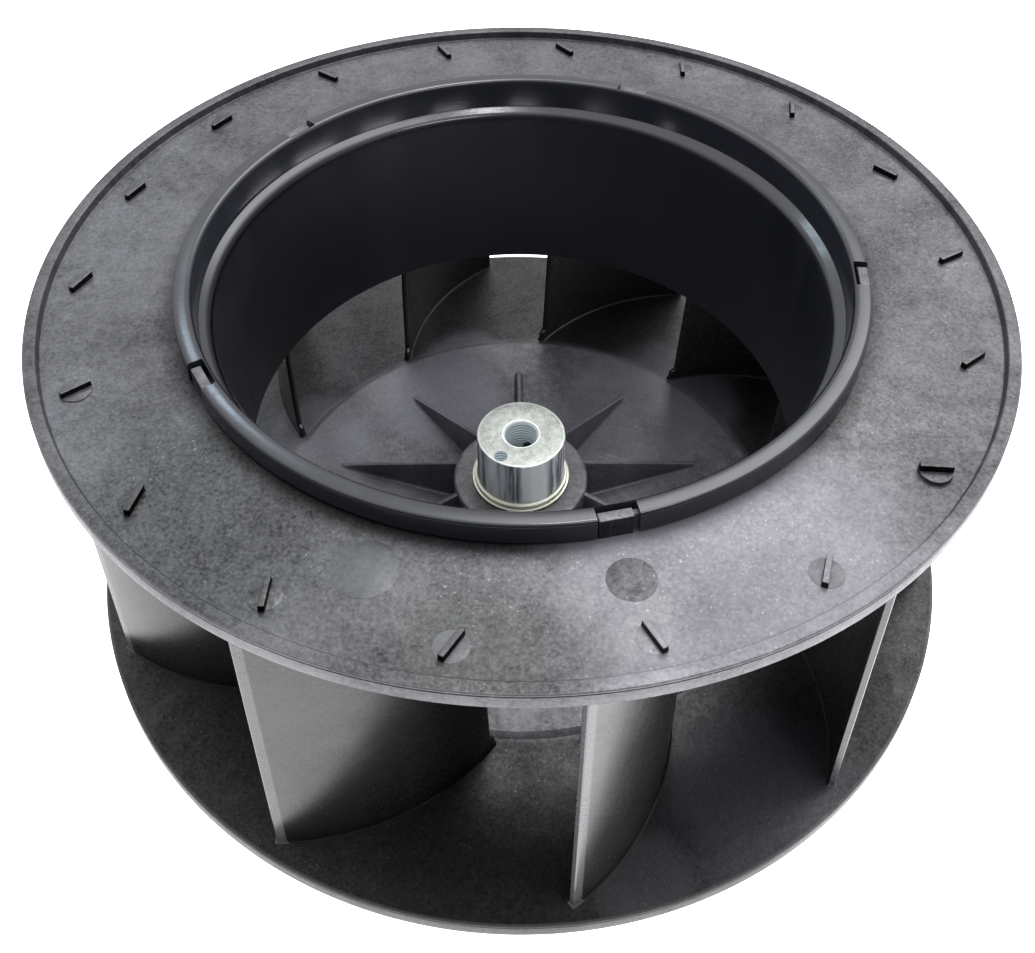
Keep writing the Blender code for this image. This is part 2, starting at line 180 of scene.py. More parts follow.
def radial_rod(stations, segments):
    """A rod of (radius, distance from the axis) stations, lying along the set screw's line."""
    rod = loft([
        [(x, y, SCREW_HEIGHT + z) for y, z in circle(radius, segments)] for radius, x in stations
    ])
    return place(rod, 0.0, SCREW_ANGLE)


# ---------------------------------------------------------------- objects


def new_object(name, shape):
    verts, faces = shape
    mesh = bpy.data.meshes.new(name)
    mesh.from_pydata([(x * MM, y * MM, z * MM) for x, y, z in verts], [], faces)
    bm = bmesh.new()
    bm.from_mesh(mesh)
    bmesh.ops.recalc_face_normals(bm, faces=bm.faces)
    bm.to_mesh(mesh)
    bm.free()
    obj = bpy.data.objects.new(name, mesh)
    bpy.context.scene.collection.objects.link(obj)
    return obj


def dress(obj, material, smooth):
    """Gives an object its one material and smooths it below an angle."""
    mesh = obj.data
    mesh.materials.clear()
    mesh.materials.append(material)
    for face in mesh.polygons:
        face.use_smooth = True
    mesh.set_sharp_from_angle(angle=rad(smooth))


def piece(name, shape, material, replaces=(), smooth=32.0, body="wheel"):
    obj = new_object(name, shape)
    dress(obj, material, smooth)
    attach(obj, body)
    if replaces:
        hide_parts(*replaces)
    return obj


def cut(obj, name, shape, material, smooth):
    """Cuts a shape out of an object, then dresses the new mesh."""
    cutter = new_object(name, shape)
    cutter.data.materials.append(None)
    step = obj.modifiers.new("cut", "BOOLEAN")
    step.operation = "DIFFERENCE"
    step.solver = "EXACT"
    step.object = cutter
    graph = bpy.context.evaluated_depsgraph_get()
    mesh = bpy.data.meshes.new_from_object(obj.evaluated_get(graph))
    obj.modifiers.clear()
    old = obj.data
    obj.data = mesh
    bpy.data.meshes.remove(old)
    bpy.data.objects.remove(cutter, do_unlink=True)
    dress(obj, material, smooth)


# ---------------------------------------------------------------- shader nodes


class Nodes:
    """Short ways to add nodes to a tree. Values may be sockets or numbers."""

    def __init__(self, tree, coordinates):
        self.tree = tree
        self.coords = self.add("ShaderNodeTexCoord").outputs[coordinates]

    def add(self, kind, **props):
        node = self.tree.nodes.new(kind)
        for key, value in props.items():
            setattr(node, key, value)
        return node

    def put(self, socket, value):
        if hasattr(value, "is_output"):
            self.tree.links.new(value, socket)
        elif value is not None:
            socket.default_value = value

    def fill(self, node, **inputs):
        """Sets inputs by name, with _ for each space."""
        for key, value in inputs.items():
            self.put(node.inputs[key.replace("_", " ")], value)

    def math(self, operation, *values, clamp=False):
        node = self.add("ShaderNodeMath", operation=operation, use_clamp=clamp)
        for socket, value in zip(node.inputs, values):
            self.put(socket, value)
        return node.outputs[0]

    def plus(self, first, second):
        return self.math("ADD", first, second)

    def minus(self, first, second):
        return self.math("SUBTRACT", first, second)

    def times(self, value, by):
        return self.math("MULTIPLY", value, by)

    def inverse(self, value):
        return self.minus(1, value)

    def centred(self, value):
        return self.minus(value, 0.5)

    def add_scaled(self, value, by, onto):
        return self.math("MULTIPLY_ADD", value, by, onto)

    def weighted(self, *pairs):
        """The sum of (value, weight) pairs."""
        total = self.times(*pairs[0])
        for pair in pairs[1:]:
            total = self.plus(total, self.times(*pair))
        return total

    def span(self, value, low, high, start=0, end=1):
        """Goes smoothly from start to end as the value goes from low to high."""
        node = self.add("ShaderNodeMapRange", interpolation_type="SMOOTHSTEP")
        self.fill(node, Value=value, From_Min=low, From_Max=high, To_Min=start, To_Max=end)
        return node.outputs["Result"]

    def span_mm(self, value, low, high, start=0, end=1):
        return self.span(value, low * MM, high * MM, start, end)

    def split(self, vector=None):
        node = self.add("ShaderNodeSeparateXYZ")
        self.put(node.inputs[0], vector or self.coords)
        return node.outputs


class Shader(Nodes):
    """A node material around one Principled shader."""

    def __init__(self, name):
        self.material = bpy.data.materials.new(name)
        self.material.use_nodes = True
        super().__init__(self.material.node_tree, "Object")

    def finish(self, **inputs):
        self.fill(self.tree.nodes["Principled BSDF"], **inputs)
        return self.material

    def noise(self, size, detail=4, rough=0.55, vector=None, warp=0, seed=0):
        """Noise with features about size millimetres across."""
        node = self.add("ShaderNodeTexNoise", noise_dimensions="4D")
        self.fill(node, Vector=vector or self.coords, W=seed, Scale=1000 / size)
        self.fill(node, Detail=detail, Roughness=rough, Distortion=warp)
        return node.outputs["Fac"]

    def mix(self, factor, first, second, blend="MIX"):
        node = self.add("ShaderNodeMix", data_type="RGBA", blend_type=blend)
        self.put(node.inputs[0], factor)
        for index, value in ((6, first), (7, second)):
            if isinstance(value, tuple):
                value = (*value, 1.0)
            self.put(node.inputs[index], value)
        return node.outputs[2]

    def dim(self, colour, factor):
        return self.mix(1, colour, self.join(factor, factor, factor), "MULTIPLY")

    def join(self, x, y, z):
        node = self.add("ShaderNodeCombineXYZ")
        for socket, value in zip(node.inputs, (x, y, z)):
            self.put(socket, value)
        return node.outputs[0]

    def mapping(self, scale=(1, 1, 1), rotation=(0, 0, 0), location=(0, 0, 0), vector=None):
        node = self.add("ShaderNodeMapping")
        self.fill(node, Vector=vector or self.coords)
        self.fill(node, Scale=scale, Rotation=rotation, Location=location)
        return node.outputs[0]

    def length(self, x, y):
        return self.math("SQRT", self.plus(self.times(x, x), self.times(y, y)))

    def radius(self):
        x, y, _ = self.split()
        return self.length(x, y)

    def polar(self, ring):
        """(radius, angle times ring, height) round the axis, in metres."""
        x, y, z = self.split()
        return self.length(x, y), self.times(self.math("ARCTAN2", y, x), ring), z

    def levelness(self):
        """1 on level faces and 0 on upright ones."""
        normal = self.add("ShaderNodeNewGeometry").outputs["Normal"]
        return self.math("ABSOLUTE", self.split(normal)[2])

    def bump(self, height, depth, strength, normal=None):
        """A bump with its depth in millimetres, laid over an earlier normal."""
        node = self.add("ShaderNodeBump")
        self.fill(node, Strength=strength, Distance=depth * MM, Height=height, Normal=normal)
        return node.outputs[0]


def scaled(colour, gain, lift=0.0):
    return tuple(min(1.0, part * gain + lift) for part in colour)


# ---------------------------------------------------------------- moulded plastic

# Each set of scratches: seed, turn, stretch, feature size, low and high noise threshold
SCRATCHES = (
    (3.1, 24, 26, 30, 0.66, 0.70), (7.7, -38, 30, 24, 0.67, 0.70), (5.3, 81, 22, 36, 0.68, 0.71),
)


def scratch_lines(mat):
    sets = []
    for seed, turn, stretch, size, low, high in SCRATCHES:
        vector = mat.mapping(rotation=(0, 0, rad(turn)))
        vector = mat.mapping(scale=(1, stretch, 1), location=(seed, 0, 0), vector=vector)
        marks = mat.noise(size, detail=1, rough=0.4, vector=vector, warp=0.25, seed=seed)
        sets.append(mat.span(marks, low, high))
    lines = mat.math("MAXIMUM", mat.math("MAXIMUM", sets[0], sets[1]), sets[2])
    where = mat.noise(size=38, detail=3, rough=0.6, seed=21)
    return mat.times(lines, mat.span(where, low=0.50, high=0.62))


def paint_light_patches(mat, colour, light_patches):
    """Paints round patches of light and shade with wavering edges."""
    for patch_x, patch_y, size, tint, amount in light_patches:
        x, y, _ = mat.split()
        away = mat.length(mat.minus(x, patch_x * MM), mat.minus(y, patch_y * MM))
        waver = mat.centred(mat.noise(size=30, detail=3, seed=patch_x))
        away = mat.plus(away, mat.times(waver, by=size * MM * 0.9))
        inside = mat.span_mm(away, low=size * 0.55, high=size, start=amount, end=0)
        colour = mat.mix(inside, colour, tint)
    return colour


def moulded(
    name, dark, light, rough=(0.42, 0.62), blotch=34, grain=1.0, flow=0, speck=0.5, spec=0.5,
    light_patches=(), scratch=1.0, mottling=1.0, light_shade_zone=(), rim_light=(), side_shade=1.0,
):
    """Moulded plastic: cloudy colour, fine grain, pale specks and scratches.

    blotch is the cloud size; grain, flow, speck, scratch and mottling are strengths.
    light_shade_zone: painted light and shade by radius; inner and outer radius, colour gain at
    each, sheen gain at each.
    rim_light: radii where the rim tint starts and is full, tint; painted light on the outer faces.
    side_shade: gain on upright faces, painted shade.
    """
    mat = Shader(name)
    cloud = mat.noise(size=blotch, detail=5, rough=0.62, warp=0.6, seed=1)
    fine = mat.noise(size=blotch / 7, rough=0.6, seed=4)
    value = mat.weighted((mat.span(cloud, low=0.30, high=0.70), 0.72), (fine, 0.28))
    if flow:
        radius, angle, _ = mat.polar(ring=0.14)
        vector = mat.join(mat.times(radius, by=0.12), angle, 0)
        wedge = mat.centred(
            mat.noise(size=24, detail=2, rough=0.5, vector=vector, warp=0.15, seed=9)
        )
        value = mat.plus(value, mat.times(wedge, by=flow))
    colour = mat.mix(mat.math("MULTIPLY", value, 1, clamp=True), dark, light)

    mottle = mat.noise(size=4.2, detail=5, rough=0.68, warp=0.5, seed=31)
    where = mat.noise(size=52, detail=3, rough=0.5, seed=33)
    where = mat.span(where, low=0.38, high=0.60, start=0.15)
    mottle = mat.times(mat.span(mottle, low=0.42, high=0.66), where)
    mottle = mat.times(mottle, by=0.42 * mottling)
    colour = mat.mix(mottle, colour, scaled(light, gain=1.5, lift=0.012))

    grit = mat.noise(size=0.9, detail=3, rough=0.7, seed=2)
    specks = mat.times(mat.span(grit, low=0.60, high=0.74), by=speck)
    where = mat.noise(size=46, detail=3, rough=0.5, seed=12)
    specks = mat.times(specks, mat.span(where, low=0.42, high=0.62, start=0.25))
    colour = mat.mix(specks, colour, scaled(light, gain=2.4, lift=0.03))

    lines = scratch_lines(mat)
    pale = scaled(light, gain=2.2, lift=0.03)
    colour = mat.mix(mat.times(lines, by=0.22 * scratch), colour, pale)
    # Painted light and shade: a colour gain that changes with radius
    if light_shade_zone:
        inner, outer, *gains = light_shade_zone
        colour = mat.dim(colour, mat.span_mm(mat.radius(), inner, outer, *gains[:2]))
    # Painted light and shade patches
    colour = paint_light_patches(mat, colour, light_patches)

    roughness = mat.weighted((cloud, 0.6), (grit, 0.4))
    roughness = mat.span(roughness, low=0.3, high=0.7, start=rough[1], end=rough[0])
    height = mat.weighted((grit, 0.5), (mat.noise(size=3.2, rough=0.6, seed=6), 0.5))
    normal = mat.bump(height, depth=0.10 * grain, strength=0.55)
    swell = mat.noise(size=26, detail=2, rough=0.5, seed=8)
    normal = mat.bump(swell, depth=0.7 * grain, strength=0.35, normal=normal)
    normal = mat.bump(lines, depth=-0.03 * scratch, strength=0.6, normal=normal)

    skin = mat.weighted(
        (mat.noise(size=1.1, detail=2, rough=0.75, seed=41), 0.56),
        (mat.noise(size=4.6, rough=0.65, warp=0.4, seed=43), 0.20),
        (cloud, 0.24),
    )
    sheen = mat.add_scaled(mat.centred(skin), by=2 * mottling, onto=spec)
    spark = mat.noise(size=0.75, detail=1, rough=0.5, seed=47)
    where = mat.noise(size=30, detail=3, rough=0.6, seed=49)
    where = mat.span(where, low=0.45, high=0.60, start=0.2)
    spark = mat.times(mat.span(spark, low=0.66, high=0.74), where)
    sheen = mat.add_scaled(spark, by=0.9 * mottling, onto=sheen)
    if flow:
        sheen = mat.add_scaled(wedge, by=0.5 * flow, onto=sheen)
    # The sheen follows the painted light and shade zone too
    if light_shade_zone:
        sheen = mat.times(sheen, mat.span_mm(mat.radius(), inner, outer, *gains[2:]))
    # Painted light: the rim tint brightens the outer faces
    if rim_light:
        edge = mat.span_mm(mat.radius(), low=rim_light[0], high=rim_light[1], end=0.85)
        colour = mat.mix(edge, colour, rim_light[2])
    least_sheen = 0.12
    # Painted shade on upright faces, with their sheen cut too
    if side_shade < 1.0:
        upright = mat.span(mat.levelness(), low=0.3, high=0.8, start=side_shade)
        colour = mat.dim(colour, upright)
        sheen = mat.times(sheen, upright)
        least_sheen = 0.02
    return mat.finish(
        Base_Color=colour, Roughness=roughness, Normal=normal,
        Specular_IOR_Level=mat.math("MAXIMUM", sheen, least_sheen),
    )


# ---------------------------------------------------------------- other materials


def glossy(name):
    """The inlet ring: polished mould skin with faint waviness, smears and hairlines."""
    mat = Shader(name)
    vector = mat.mapping(scale=(1, 1, 0.35))
    smear = mat.noise(size=22, detail=5, rough=0.6, vector=vector, warp=0.8, seed=3)
    dust = mat.noise(size=0.7, detail=2, rough=0.6, seed=5)
    dust = mat.span(dust, low=0.70, high=0.78)
    radius, angle, z = mat.polar(ring=0.11)
    vector = mat.join(angle, mat.times(z, by=18), 0)
    hair = mat.noise(size=20, detail=2, rough=0.4, vector=vector, seed=2)
    hair = mat.span(hair, low=0.66, high=0.70)
    base, pale = (0.0066, 0.0074, 0.0115), (0.05, 0.05, 0.055)
    colour = mat.mix(mat.times(dust, by=0.35), base, pale)
    colour = mat.mix(mat.times(hair, by=0.10), colour, pale)
    roughness = mat.plus(
        mat.span(smear, low=0.35, high=0.68, start=0.11, end=0.21),
        mat.span_mm(z, low=127.3, high=129.3, start=0.24, end=0),
    )
    waves = mat.noise(size=14, detail=2, rough=0.5, seed=7)
    normal = mat.bump(waves, depth=0.06, strength=0.35)
    fine = mat.noise(size=1.3, detail=3, rough=0.6, seed=8)
    normal = mat.bump(fine, depth=0.03, strength=0.5, normal=normal)
    # Painted light: the upright wall at the top is made paler
    wall = mat.span(mat.levelness(), low=0.25, high=0.6, start=1, end=0)
    wall = mat.times(wall, mat.span_mm(z, low=129, high=131.5))
    colour = mat.mix(mat.times(wall, by=0.85), colour, (0.022, 0.0235, 0.031))
    # Painted shade: the throat darkens towards -X, and its sheen with it
    deep = mat.span_mm(radius, low=107.6, high=108.8, start=1, end=0)
    side = mat.span_mm(mat.split()[0], low=-104, high=-40, start=0.30)
    painted_throat_shade = mat.inverse(mat.times(deep, mat.inverse(side)))
    colour = mat.dim(colour, painted_throat_shade)
    sheen = mat.times(mat.span_mm(z, low=118, high=127, start=0.425, end=0.5), painted_throat_shade)
    return mat.finish(
        Base_Color=colour, Roughness=roughness, Normal=normal, Specular_IOR_Level=sheen
    )


def plated(name):
    """Zinc plate on turned steel: granular end face, streaked side and a warm tint at the foot."""
    top, side = (0.236, 0.246, 0.228), (0.54, 0.58, 0.64)
    mat = Shader(name)
    radius, angle, z = mat.polar(ring=0.017)
    x, y, _ = mat.split()
    flat = mat.span(mat.levelness(), low=0.6, high=0.9)
    # The plating is dull inside the bore and the small blind hole
    bore = mat.span_mm(radius, low=BORE_RADIUS, high=6.75)
    hole_x = BLIND_HOLE_DISTANCE * MM * math.cos(rad(BLIND_HOLE_ANGLE))
    hole_y = BLIND_HOLE_DISTANCE * MM * math.sin(rad(BLIND_HOLE_ANGLE))
    away = mat.length(mat.minus(x, hole_x), mat.minus(y, hole_y))
    blind = mat.times(
        mat.span_mm(away, low=2.75, high=2.65), mat.span_mm(z, low=52, high=51.8)
    )
    inside = mat.math("MAXIMUM", bore, blind)

    grain = mat.noise(size=0.55, rough=0.7, seed=3)
    coarse = mat.noise(size=2.4, detail=3, rough=0.6, seed=13)
    rings = mat.noise(size=0.35, detail=2, rough=0.5, vector=mat.join(radius, 0, z), seed=1)
    drawn = mat.join(angle, 0, mat.times(z, by=0.05))
    streak = mat.noise(size=2.8, detail=3, rough=0.65, vector=drawn, seed=6)
    broad = mat.noise(size=11, detail=1, rough=0.5, vector=mat.join(angle, 0, 0), seed=16)

    shade = mat.span(mat.weighted((grain, 0.6), (coarse, 0.4)), low=0.36, high=0.64)
    face = mat.mix(shade, scaled(top, gain=0.66), scaled(top, gain=1.3))
    edge = mat.span_mm(radius, low=15.9, high=16.9, end=0.7)
    face = mat.mix(edge, face, scaled(top, gain=1.7))
    wall = mat.mix(mat.span(streak, low=0.44, high=0.58), scaled(side, gain=0.16), side)
    broad = mat.times(mat.span(broad, low=0.44, high=0.64), by=0.7)
    wall = mat.mix(broad, wall, scaled(side, gain=1.7))

    # Painted light and shade of the thread ridges: helical bands inside the bore, 1.45 mm apart
    # and rising once per turn
    rise = mat.times(z, by=TAU / (1.45 * MM))
    turn = mat.math("SINE", mat.plus(rise, mat.times(mat.math("ARCTAN2", y, x), by=1)))
    turn = mat.span(turn, low=-0.4, high=0.7)
    thread_light_and_shade = mat.mix(turn, (0.34, 0.40, 0.43), (0.90, 0.96, 0.98))
    # Painted shade: the bore darkens deeper down
    depth = mat.span_mm(z, low=34, high=46, start=0.8, end=0)
    thread_light_and_shade = mat.mix(depth, thread_light_and_shade, (0.10, 0.12, 0.13))
    # Painted light: the side wall is brighter to +X
    wall = mat.dim(wall, mat.span_mm(x, low=-4, high=12, start=0.95, end=2.3))  # brighter to +X
    wall = mat.mix(inside, wall, thread_light_and_shade)
    mouth = mat.times(
        mat.span_mm(radius, low=7.2, high=7.6, start=1, end=0),
        mat.span_mm(z, low=51.2, high=51.5, end=0.8),
    )
    face = mat.mix(blind, face, (0.32, 0.37, 0.39))
    colour = mat.mix(flat, wall, face)
    colour = mat.mix(mouth, colour, (0.56, 0.59, 0.57))
    foot = mat.span_mm(z, low=30.2, high=33.5, start=0.8, end=0)
    colour = mat.mix(foot, colour, (0.46, 0.46, 0.37))

    roughness = mat.span(grain, low=0.3, high=0.7, start=0.26, end=0.46)
    roughness = mat.plus(roughness, mat.times(flat, by=0.10))
    metal = mat.inverse(mat.times(mat.inverse(flat), by=0.35))
    metal = mat.math("SUBTRACT", metal, mat.times(inside, by=0.6), clamp=True)
    normal = mat.bump(grain, depth=0.07, strength=0.9)
    normal = mat.bump(coarse, depth=0.12, strength=0.5, normal=normal)
    normal = mat.bump(rings, depth=0.02, strength=0.5, normal=normal)
    return mat.finish(Base_Color=colour, Roughness=roughness, Metallic=metal, Normal=normal)


def dark_steel(name, base, rough):
    mat = Shader(name)
    grain = mat.noise(size=0.6, rough=0.7, seed=3)
    shade = mat.span(grain, low=0.35, high=0.7)
    return mat.finish(
        Base_Color=mat.mix(shade, scaled(base, gain=0.7), scaled(base, gain=1.6)),
        Roughness=mat.span(grain, low=0.3, high=0.7, start=rough * 0.8, end=rough * 1.3),
        Metallic=1.0,
        Normal=mat.bump(grain, depth=0.02, strength=0.6),
    )


# Pale tints for painted highlights: small glint spots and glare
GLINT_SPOT = (0.125, 0.125, 0.125)
GLARE = (0.085, 0.081, 0.100)
# Painted light and shade patches: x, y, radius, tint, strength
SHROUD_LIGHT_PATCHES = (
    (60, -128, 62, (0.130, 0.124, 0.144), 0.80), (-84, -106, 58, (0.004, 0.0045, 0.005), 0.88),
    (-12, -152, 24, (0.012, 0.013, 0.009), 0.75), (35.5, -137, 6, GLINT_SPOT, 0.5),
    (31, -143.5, 6, GLINT_SPOT, 0.5), (26, -149, 5, GLINT_SPOT, 0.4),
    (134, -34, 44, (0.009, 0.009, 0.012), 0.6),
)
# Painted glare and painted shade on the back plate
BACK_LIGHT_PATCHES = (
    (-38, 62, 34, GLARE, 0.85), (-26, 90, 22, GLARE, 0.6), (-84, 42, 30, GLARE, 0.5),
    (62, 60, 44, GLARE, 0.35), (0, -93, 9, GLARE, 0.5), (84, -126, 44, GLARE, 0.25),
    (40, -150, 20, (0.060, 0.060, 0.068), 0.45), (4, -122, 25, (0.0020, 0.0023, 0.0016), 0.95),
    (0, 0, 30, (0.016, 0.015, 0.0145), 0.9),
)
SHROUD_SKIN = dict(dark=(0.011, 0.011, 0.0135), light=(0.034, 0.033, 0.038), rough=(0.32, 0.50))

# On the shroud plate the light_shade_zone paints shade round the foot of the inlet ring
PLATE = moulded(
    "shroud_skin", **SHROUD_SKIN, flow=0.8, light_patches=SHROUD_LIGHT_PATCHES, mottling=1.2,
    # rim_light: painted light on the outer side wall
    light_shade_zone=(117.5, 126, 0.30, 1, 0.55, 1), rim_light=(164.3, 164.8, (0.058, 0.054, 0.063)),
)
# Bars: side_shade paints shade on their upright sides
BAR = moulded("bar_skin", **SHROUD_SKIN, light_patches=SHROUD_LIGHT_PATCHES[:2], side_shade=0.12)
# Catches: side_shade paints shade on their upright sides
BLOCK = moulded(
    "catch_skin", dark=(0.020, 0.020, 0.024), light=(0.055, 0.053, 0.062), rough=(0.30, 0.45),
    blotch=8, side_shade=0.4,
)
RING = glossy("inlet_ring_skin")
BASE = moulded(
    "back_plate_skin", dark=(0.007, 0.007, 0.008), light=(0.024, 0.0235, 0.027),
    # light_shade_zone: painted light inside the inlet, painted shade under the shroud
    rough=(0.34, 0.50), blotch=28, flow=0.3, light_shade_zone=(98, 104.5, 2.7, 0.15, 1, 0.55),
    # rim_light: painted light on the outer side wall
    rim_light=(163.4, 164.2, (0.062, 0.058, 0.060)), light_patches=BACK_LIGHT_PATCHES,
)
# The rim_light tint is painted light on the outer end face of each blade
VANE = moulded(
    "blade_skin", dark=(0.004, 0.0036, 0.004), light=(0.009, 0.0084, 0.0088),
    rough=(0.21, 0.31), rim_light=(157.5, 157.8, (0.085, 0.083, 0.088)), scratch=0.15, blotch=40,
    grain=0.03, speck=0.08, mottling=0.3,
)
PAD = moulded(
    "pad_skin", dark=(0.040, 0.040, 0.045), light=(0.075, 0.075, 0.085), rough=(0.34, 0.50),
    blotch=7, speck=0.3, mottling=0.5,
)
PAD_BIG = moulded(
    "pad_big_skin", dark=(0.018, 0.019, 0.021), light=(0.036, 0.038, 0.040),
    rough=(0.34, 0.46), blotch=9, speck=0.3, mottling=0.5,
)
PAD_DARK = moulded(
    "pad_dark_skin", dark=(0.012, 0.012, 0.014), light=(0.050, 0.048, 0.054),
    rough=(0.38, 0.55), blotch=6, speck=0.8, spec=0.42,
)
ZINC = plated("hub_plating")
CLIP = dark_steel("retaining_ring_skin", base=(0.28, 0.28, 0.29), rough=0.32)
OXIDE = dark_steel("set_screw_skin", base=(0.03, 0.03, 0.033), rough=0.4)

# ---------------------------------------------------------------- shroud

# Turned outlines list (radius, height, corner radius)
SHROUD_OUTLINE = [
    (SHROUD_RADIUS, SHROUD_LIP_TOP, 0.45), (SHROUD_RADIUS, 136.75, 0.12),
    (164.55, 136.65, 0.08), (164.55, 136.35, 0.08),
    (SHROUD_RADIUS, 136.25, 0.12), (SHROUD_RADIUS, SHROUD_LOW, 0.7),
    (113.35, SHROUD_LOW, 0.3), (113.35, 140.5, 0.4), (115.4, 140.5, 0.4),
    (115.4, SHROUD_TOP, 0.3), (160.3, SHROUD_TOP, 0.5), (160.8, SHROUD_LIP_TOP, 0.6),
]
shroud = lathe(SHROUD_OUTLINE, segments=360)
piece("shroud_plate", shroud, PLATE, ("shroud",))

# Eighteen short bars, each on a round pad; BAR_TILT is the turn of each from the radius
BAR_TILT = (27, -69, 39, 24, 47, 17, 21, -88, 80, 61, 15, 34, 24, -26, 17, -51, 33, 53)
BAR_DISTANCE, BAR_START, BAR_STEP = 150.4, 3.4, 20.0
TALL_BAR, TALL_RISE = 16, 1.4
PAD_RISE = {TALL_BAR: TALL_RISE, 10: 0.35, 12: 0.10, 13: 0.06, 15: 0.08, 14: 0.05}
PALE_PADS = (13, 15)
bars, pale_pads, flush_pads = [], [], []
for k, tilt in enumerate(BAR_TILT):
    angle = BAR_START + BAR_STEP * k
    rise = PAD_RISE.get(k, 0.04)
    low = SHROUD_TOP - 0.5
    pad = disc(5.0, low, SHROUD_TOP + rise, edge=min(0.15, rise * 0.8), segments=56)
    pads = pale_pads if k in PALE_PADS else flush_pads
    pads.append(place(pad, BAR_DISTANCE, angle))
    high = SHROUD_TOP + 2.2 + (TALL_RISE if k == TALL_BAR else 0.0)
    bar = pill(length=9.8, width=1.8, corner=0.25, low=low, high=high, edge=0.22, draft=0.12)
    bars.append(place(bar, BAR_DISTANCE, angle, tilt))


def low_pad(radius, segments, distance, angle):
    pad = disc(radius, SHROUD_TOP - 0.4, SHROUD_TOP + 0.05, edge=0.04, segments=segments)
    return place(pad, distance, angle)


wide_pad = low_pad(radius=9.6, segments=96, distance=132.4, angle=-108.4)
dark_pad = low_pad(radius=7.1, segments=80, distance=131.7, angle=-76.8)

# Catches stand in the ring's windows, each nearer one end: (angle, side of the wider gap)
CATCHES = [(-148.6 + 72.0 * k, side) for k, side in enumerate((-1, 1, 1, 1, -1))]
block = pill(length=10.2, width=3.3, corner=0.35, low=133.6, high=141.75, edge=0.3)
blocks = [place(crosswise(block, -0.55 * side), 115.15, angle) for angle, side in CATCHES]

for name, shape, material in (
    ("shroud_bars", merge(bars), BAR),
    ("shroud_flush_pads", merge(flush_pads), PLATE),
    ("shroud_wide_pad", wide_pad, PAD_BIG),
    ("shroud_pads", merge(pale_pads), PAD),
    ("shroud_dark_pad", dark_pad, PAD_DARK),
    ("shroud_catches", merge(blocks), BLOCK),
):
    piece(name, shape, material, smooth=40)

# ---------------------------------------------------------------- inlet ring

RING_OUTLINE = [
    (117.45, 142.7, 1.2), (117.45, 135.5, 0.35), (115.75, 135.5, 0.2), (115.75, 140.9, 0.2),
    (113.05, 140.9, 0.2), (113.05, 130.8, 0.8), (108.0, 127.5, 0.8), (103.5, 58.3, 0.5),
    (101.5, 58.3, 0.9), (106.0, 128.9, 3.4), (110.6, 130.9, 0.35), (111.25, 142.7, 1.9),
]
WINDOW_INNER, WINDOW_DEPTH = 112.15, 7.0  # the cut starts inside the wall and goes out past it
ring = lathe(RING_OUTLINE, segments=360, steps=5)
ring = piece("inlet_ring_body", ring, RING, ("inlet_ring",))
window = crosswise(pill(12.2, WINDOW_DEPTH, corner=0.4, low=133.0, high=144.0, edge=0.1))
windows = [place(window, WINDOW_INNER + WINDOW_DEPTH / 2, angle) for angle, _ in CATCHES]
cut(ring, "window_cutter", merge(windows), RING, smooth=32)

# ---------------------------------------------------------------- back plate

BACK_OUTLINE = [
    (24.9, 28.0, 0.0), (BOSS_RADIUS, 28.0, 1.7), (BOSS_RADIUS, 6.9, 1.6), (99.0, 6.9, 0.6),
    (101.5, 5.9, 0.8), (BACK_RADIUS, 5.9, 0.35), (BACK_RADIUS, 5.35, 0.1),
    (164.3, 5.25, 0.08), (164.3, 4.95, 0.08), (BACK_RADIUS, 4.85, 0.1),
    (BACK_RADIUS, 0.0, 0.7), (160.8, 0.0, 0.6), (160.4, 2.9, 0.6), (101.5, 2.9, 0.6),
    (99.0, 3.9, 0.6), (22.7, 3.9, 0.8), (22.3, 24.0, 1.2), (16.9, 24.0, 1.2),
    (16.5, 3.9, 0.5), (12.3, 3.9, 0.4), (12.3, 28.0, 0.5),
]
back = lathe(BACK_OUTLINE, segments=360)
piece("back_plate_disc", back, BASE, ("back_plate",))

FIN_START, FIN_END, FIN_STATIONS = 25.0, 81.5, 40
FIN_BASE, FIN_HALF_WIDTH, FIN_HALF_CREST = 6.55, 1.3, 0.95
SLOPE_TOP, SLOPE_FOOT, SLOPE_END = 26.4, 6.95, 80.0  # crest heights, radius at the low end


def fin(angle):
    """One fin: flared at its foot, rounded along its crest, running out into the plate."""
    loops = []
    base, wide, crest = FIN_BASE, FIN_HALF_WIDTH, FIN_HALF_CREST
    for k in range(FIN_STATIONS):
        x = FIN_START + (FIN_END - FIN_START) * k / (FIN_STATIONS - 1)
        fall = (SLOPE_FOOT - SLOPE_TOP) * (x - BOSS_RADIUS) / (SLOPE_END - BOSS_RADIUS)
        top = min(max(SLOPE_TOP + fall, 6.62), 26.8)
        height = top - base
        edge = min(0.35, height * 0.4)
        # (half width, height) from the foot up
        side = [
            (wide + 0.9, base),
            (wide + 0.9, base + min(0.36, height * 0.15)),
            (wide + 0.38, base + min(0.62, height * 0.3)),
            (wide + 0.12, base + min(1.0, height * 0.45)),
            (wide, base + min(1.5, height * 0.6)),
            (crest, top - edge),
            (crest - 0.3 * edge, top - 0.3 * edge),
            (crest - edge, top),
        ]
        loops.append([(x, -y, z) for y, z in side] + [(x, y, z) for y, z in reversed(side)])
    return place(loft(loops), 0.0, angle)


fins = merge([fin(91.0 + 36.0 * k) for k in range(10)])
piece("back_plate_fins", fins, BASE, smooth=40)

# ---------------------------------------------------------------- blades

